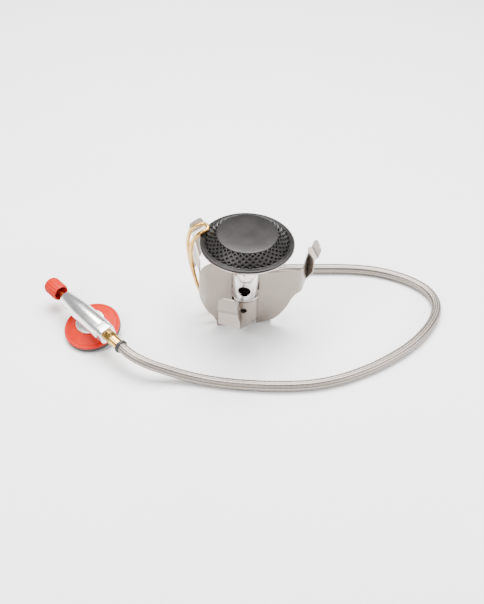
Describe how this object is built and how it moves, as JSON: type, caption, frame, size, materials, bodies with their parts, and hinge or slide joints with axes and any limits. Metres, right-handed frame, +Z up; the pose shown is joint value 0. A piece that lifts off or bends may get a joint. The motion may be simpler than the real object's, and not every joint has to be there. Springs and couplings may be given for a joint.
{
  "type": "camping gas burner",
  "caption": "Low gas burner with a black round flame cap, a three-armed sheet-steel bracket, a braided hose and a canister valve with a red knob.",
  "frame": {"origin": "on the burner's axis, on the surface that the burner stands on", "axes": "+Z up along the burner's axis, +X towards the right wing, -Y towards the front grip"},
  "size_m": [0.2775, 0.125, 0.0809],
  "materials": {
    "black_anodised": "matte",
    "pressed_steel": "satin",
    "sheet_steel": "satin",
    "turned_steel": "polished",
    "dark_steel": "satin",
    "gauze_steel": "satin",
    "brass": "satin",
    "copper": "satin",
    "braid": "braided",
    "rubber": "matte",
    "aluminium": "satin",
    "red_coat": "satin"
  },
  "bodies": {
    "burner": {"burner_cap": "black_anodised", "flame_gauze": "gauze_steel", "burner_cup": "pressed_steel", "mixer_baffle": "turned_steel", "mixer_tube": "turned_steel", "jet_holder": "dark_steel", "end_plug": "dark_steel", "jet": "brass", "jet_washer": "copper", "jet_filter": "gauze_steel", "main_bracket": "sheet_steel", "front_bracket": "sheet_steel", "bracket_rivets": "turned_steel", "preheat_tube": "brass", "preheat_nuts": "brass", "inlet_block": "brass", "inlet_filter": "gauze_steel", "block_screws": "turned_steel", "burner_ferrule": "brass", "hose": "braid", "hose_ring": "rubber", "hose_union": "brass", "union_washer": "copper", "valve_body": "aluminium", "valve_seat": "brass", "canister_seal": "rubber", "pin_pusher": "brass", "disc": "red_coat", "disc_pad": "rubber", "gland_nut": "brass"},
    "seal_carrier": {"spindle_seal": "rubber"},
    "knob_group": {"spindle": "turned_steel", "knob": "red_coat", "knob_screw": "turned_steel"}
  },
  "joints": [
    {"name": "spindle_travel", "type": "slide", "parent": "burner", "child": "seal_carrier", "axis": [-0.6947, 0.7193, 0], "range_m": [0, 0.00113]},
    {"name": "knob_turn", "type": "hinge", "parent": "seal_carrier", "child": "knob_group", "pos_m": [-0.13036, 0.01181, 0.0161], "axis": [-0.6947, 0.7193, 0], "range_deg": [0, 540]}
  ],
  "couplings": [
    {"joint": "spindle_travel", "follows": "knob_turn", "m_per_rad": 0.00011937}
  ]
}
